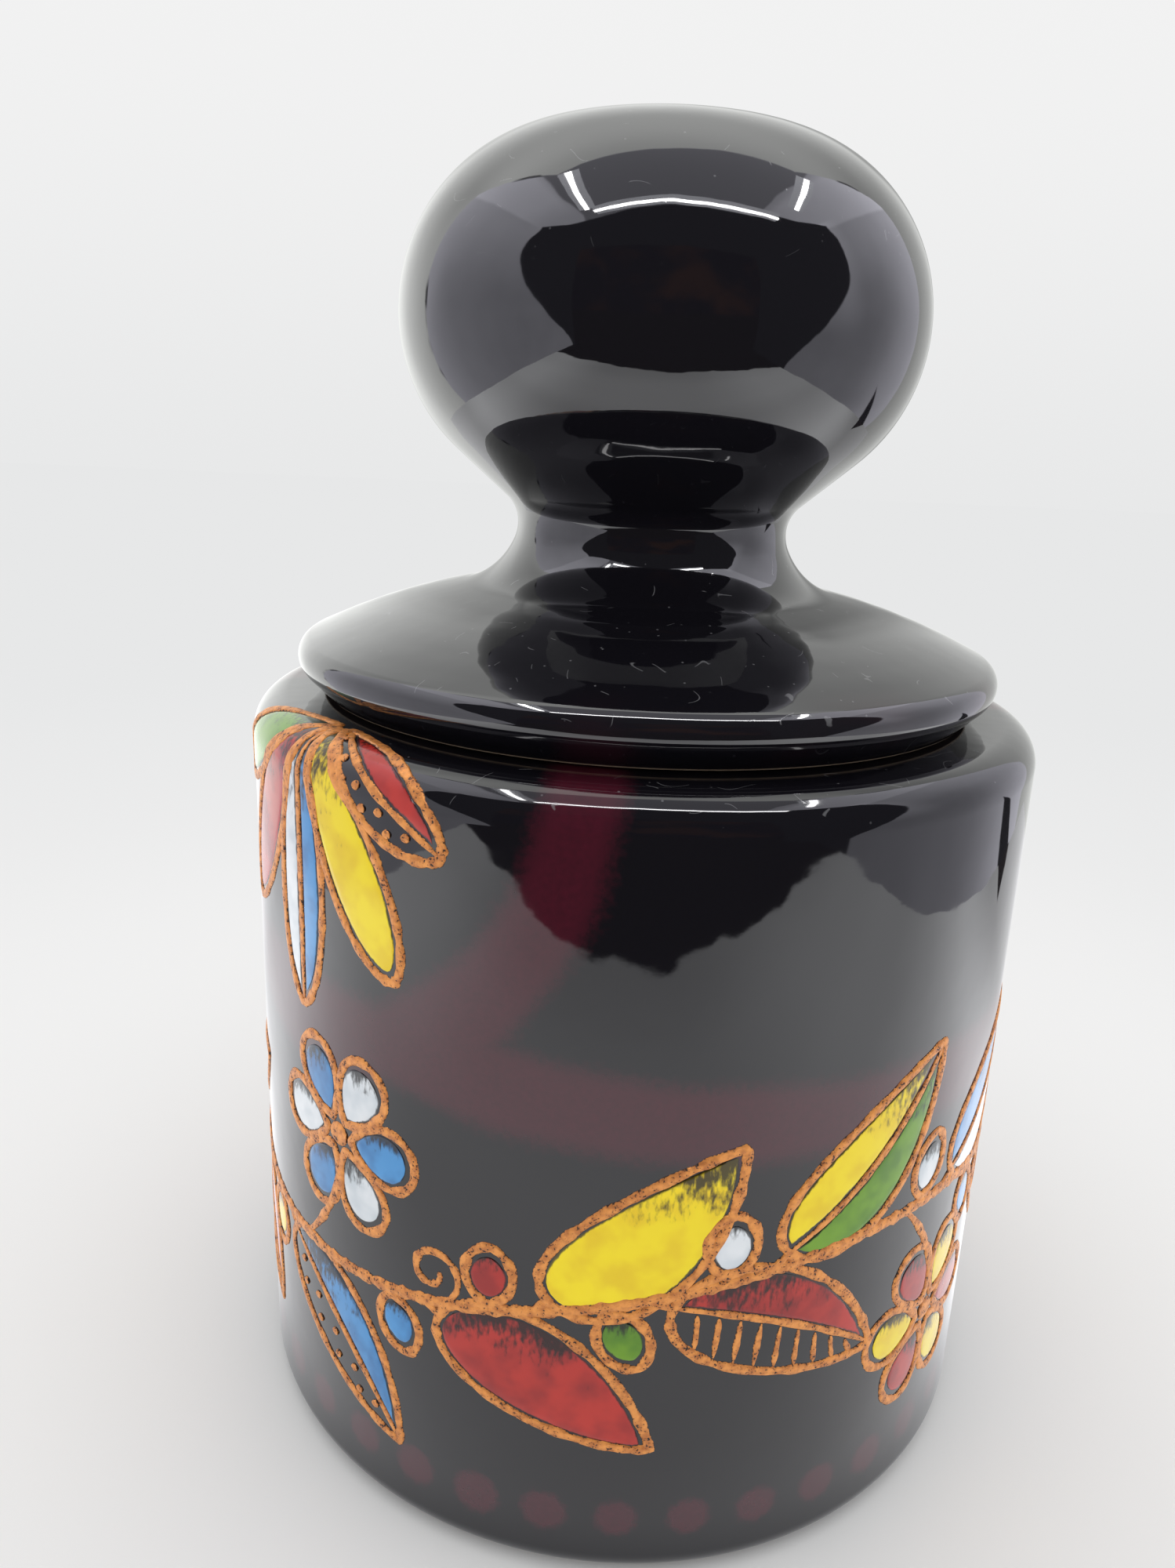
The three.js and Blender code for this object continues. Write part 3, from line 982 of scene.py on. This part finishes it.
tent_cloth, tent = stage_material("tent")
spot = tent.node("ShaderNodeTexCoord", out="Object")
east, north, upward = axes_of(spot)
folds = tent.noise(spot, 7.0) - 0.5
aside = tent.math("ABSOLUTE", east)
on_roof, on_right = upward.smooth(0.50, 0.515), east.smooth(0.34, 0.36)
sheet_line = east * 0.17 + tent.math("MAXIMUM", aside - 0.18, 0.0) * 1.2 - 0.015
sheet = (north - sheet_line).smooth(-0.003, 0.003)
panel = on_roof * (aside - panel_half - folds * 0.05).smooth(0.004, -0.004)
arch = (1 - tent.math("POWER", aside * 2.7, 4.0)) * upward.smooth(0.40, 0.52)
front_line = east * 0.29 + upward.smooth(0.0, 0.40) * (0.23 - east * 0.11) - arch * 0.10 - 0.375
cloth = (north - front_line + folds * 0.03).smooth(-0.004, 0.004)
gap = tent.math("ABSOLUTE", north - sheet_line).smooth(0.010, 0.004) * (1 - panel) * folds.smooth(0.02, 0.12)
slit = tent.math("ABSOLUTE", north + upward * 0.9 - 0.20) + upward * 0.32 - 0.03
slit = slit.smooth(0.003, -0.003) * on_right
print("tent", [round(b - a, 2) for a, b in zip(tent_low, tent_high)], "m")

# %% [markdown]
# ## How bright the cloth is
# A level of 1 is as bright as white paper in the soft light round the jar. The sides and the sheet start from
# a level of their own, which grows towards the lamps, the roof and the left. The gap, the slit and the room
# beyond the cloth are dark. The emission keeps strength 1 and varies in colour alone, from black to a white
# five times as bright as that paper.

# %% Tent
side_level, sheet_level, panel_level, room_level = 1.12, 0.95, 0.84, 0.08
high = upward.smooth(0.22, 0.50)
to_left = (east * -1).smooth(0.05, 0.33)
to_back = north.smooth(0.0, 0.15) * (1 - high)
roof_glow = on_roof * (aside - panel_half).smooth(0.0, 0.03) * north.smooth(-0.26, -0.12)
wall_glow = on_right * north.smooth(-0.02, -0.12) * upward.smooth(0.15, 0.30)
sides = side_level + high * 0.75 - east * 0.30 + to_back * 0.30 + folds * 0.35
sides = sides + roof_glow * 0.6 + wall_glow * 0.7
drape = sheet_level + to_left * (0.95 - high * 0.4) + high * 0.45 + north.smooth(0.22, 0.02) * high * 0.8
rear = north.smooth(0.02, 0.18) * high * (0.03 + aside.smooth(0.04, 0.34) * 0.22)
middle = (aside - 0.19).smooth(0.0, -0.06) * upward.smooth(0.12, 0.18) * upward.smooth(0.44, 0.38)
drape = drape * (1 - rear) * (1 - middle * (0.25 + east.smooth(-0.05, 0.08) * 0.30))
front = sides * (1 - panel) + panel * panel_level
strength = (drape * sheet + front * (1 - sheet)) * (1 - gap * 0.8) * cloth * (1 - slit * 0.96)
strength = strength + (1 - cloth) * room_level


def shining(strength, full, white):
    """Emission that goes from 0 to full as the strength does, where white is the colour at full."""
    return {"Color": (strength / full).mix((0.0, 0.0, 0.0), white), "Strength": 1.0}


def staged(name, points, faces, material):
    """A studio object of the given mesh that mirrors alone see."""
    mesh = bpy.data.meshes.new(name)
    mesh.from_pydata(np.asarray(points).tolist(), [], faces)
    mesh.materials.append(material)
    stage = put_in_scene(name, mesh)
    stage.visible_camera = False
    stage.visible_diffuse = False
    stage.visible_shadow = False


full_glow, side_white, sheet_white = 5.0, (4.82, 4.78, 5.30), (4.97, 5.03, 4.93)
tent.surface("ShaderNodeEmission", shining(strength, full_glow, sheet.mix(side_white, sheet_white)))
corner = np.array([(x, y, z) for x in (0, 1) for y in (0, 1) for z in (0, 1)])
corner = np.where(corner, tent_high, tent_low)
staged("tent", corner, [(0, 1, 3, 2), (4, 6, 7, 5), (2, 3, 7, 6), (1, 5, 7, 3)], tent_cloth)
print("tent cloth:", len(tent.tree.nodes), "nodes, for levels up to", full_glow)

# %% [markdown]
# ## The strip lamps
# Three strips of small lamps are fixed under the tent's roof, one across its front edge and one back along
# each side. The glaze mirrors them as thin white lines, which tell the eye how sharp the gloss is. Each is a
# narrow ribbon that lies flat under the roof, with a soft glow on the cloth round it.

# %% Strip lamps
def ribbon(path, width, height):
    """A flat band of the given width along a path of (x, y): its two edges are the path, moved half the
    width to each side along the direction square to the path's own."""
    path = np.asarray(path, float)
    way = np.gradient(path, axis=0)
    side = np.stack([-way[:, 1], way[:, 0]], axis=-1) / np.hypot(*way.T)[:, None]
    edges = np.stack([path - side * width / 2, path + side * width / 2], axis=1).reshape(-1, 2)
    row = np.arange(len(path) - 1)[:, None] * 2
    points = np.column_stack([edges, np.full(len(edges), height)])
    return points, (row + np.array([0, 1, 3, 2])).tolist()


lamp_paths = {
    "lamp_front": [(-0.165, -0.238), (-0.08, -0.226), (0.01, -0.215),
                   (0.10, -0.212), (0.18, -0.200), (0.245, -0.186)],
    "lamp_left": [(-0.178, -0.222), (-0.170, -0.135), (-0.158, -0.050)],
    "lamp_right": [(0.252, -0.112), (0.230, -0.050), (0.203, 0.014)],
}
# Each ribbon's material, end of name, colour, strength, width and drop below the roof.
ribbons = (("strip_lamp", "", (1.0, 0.99, 1.0, 1.0), 38.0, 0.012, 0.010),
           ("lamp_glow", "_glow", (0.96, 0.97, 1.05, 1.0), 2.6, 0.042, 0.005))
for material_name, ending, colour, level, width, drop in ribbons:
    lamp_material, lamp = stage_material(material_name)
    lamp.surface("ShaderNodeEmission", {"Color": colour, "Strength": level})
    for name, path in lamp_paths.items():
        staged(name + ending, *ribbon(path, width, tent_high[2] - drop), lamp_material)
print(len(lamp_paths), "strip lamps under the roof")

# %% [markdown]
# ## The floor
# The tent's cloth runs under the jar as a pale floor. Near the jar it is plain diffuse cloth, so it keeps the
# jar's soft shadow, though its colour is painted lighter close to the jar, which softens that shade. Further
# out the camera sees it fade into the backdrop. Mirrors see it glow with painted lamp light, brighter in
# front and to the sides, with painted shade behind the jar and a painted shadow where the jar stands on it.
# There it ends at the tent's front edge, in a wavy line, and the slit at the foot of the right wall goes on
# in it as a dark wedge.

# %% The floor as the camera sees it
floor_half = 4  # metres
floor_material, ground = stage_material("floor_cloth")
spot = ground.node("ShaderNodeTexCoord", out="Object")
east, north = axes_of(spot)[:2]
reach = length_of(east, north)
# The cloth's colour is painted lighter close to the jar, from 0.80 out to 0.87 near it, which softens the
# jar's shade there.
painted_light_cloth_colour = reach.smooth(0.45, 0.14).mix((0.800, 0.800, 0.797), (0.870, 0.870, 0.866))
near_cloth = ground.node("ShaderNodeBsdfDiffuse", None, {"Color": painted_light_cloth_colour})
far_cloth = ground.node("ShaderNodeEmission", None, {"Color": (0.800, 0.805, 0.808, 1.0)})
seen_cloth = {0: reach.smooth(0.10, 0.80), 1: near_cloth, 2: far_cloth}
seen_cloth = ground.node("ShaderNodeMixShader", None, seen_cloth)
print("floor", 2 * floor_half, "m square")

# %% The floor as mirrors see it
# Painted light: for mirrors the floor glows as if lit by the lamps, brighter in front and to the sides.
behind = north.smooth(0.03, 0.16)
beside = east.smooth(0.05, 0.25) * 0.5 + (east * -1).smooth(0.12, 0.30) * 0.8
before = north.smooth(-0.32, -0.24) * north.smooth(-0.10, -0.18) * 0.22
# Painted shade behind the jar, deeper towards the east.
painted_shade_behind = behind * (0.62 + east.smooth(0.0, 0.20) * 0.38)
painted_lamp_light = 0.52 + beside * (1 - behind * 0.40) + before + north.smooth(-0.12, 0.05) * 0.46 - painted_shade_behind
# Painted shadow: the glow fades from 92 mm off the axis to nothing at 72 mm, round the jar's foot.
painted_lamp_light = painted_lamp_light * reach.smooth(0.072, 0.092)
hem = ground.noise(spot, 8.0, 3.0) - 0.5
slit = ground.math("ABSOLUTE", north - east * 0.8 + 0.091) - (east - 0.315) * 0.55
inside = (north - east * 0.10 + hem * 0.07).smooth(-0.336, -0.328) * slit.smooth(-0.003, 0.003)
plain = ground.node("ShaderNodeBsdfDiffuse", None, {"Color": (0.72, 0.72, 0.73, 1.0)})
extra = ground.node("ShaderNodeEmission", None, shining(painted_lamp_light, 3.0, (2.96, 3.0, 3.08)))
inner = ground.node("ShaderNodeAddShader", None, {0: plain, 1: extra})
outer = ground.node("ShaderNodeEmission", None, {"Color": (0.9, 0.8, 0.8, 1.0), "Strength": 0.06})
mirrored = ground.node("ShaderNodeMixShader", None, {0: inside, 1: outer, 2: inner})
is_glossy = ground.node("ShaderNodeLightPath", out="Is Glossy Ray")
ground.surface("ShaderNodeMixShader", {0: is_glossy, 1: seen_cloth, 2: mirrored})
floor_mesh = bpy.data.meshes.new("floor")
corner = floor_half * np.array([(-1, -1, 0), (1, -1, 0), (1, 1, 0), (-1, 1, 0)])
floor_mesh.from_pydata(corner.tolist(), [], [(0, 1, 2, 3)])
floor_mesh.materials.append(floor_material)
floor = put_in_scene("floor", floor_mesh)
print("floor cloth:", len(ground.tree.nodes), "nodes")
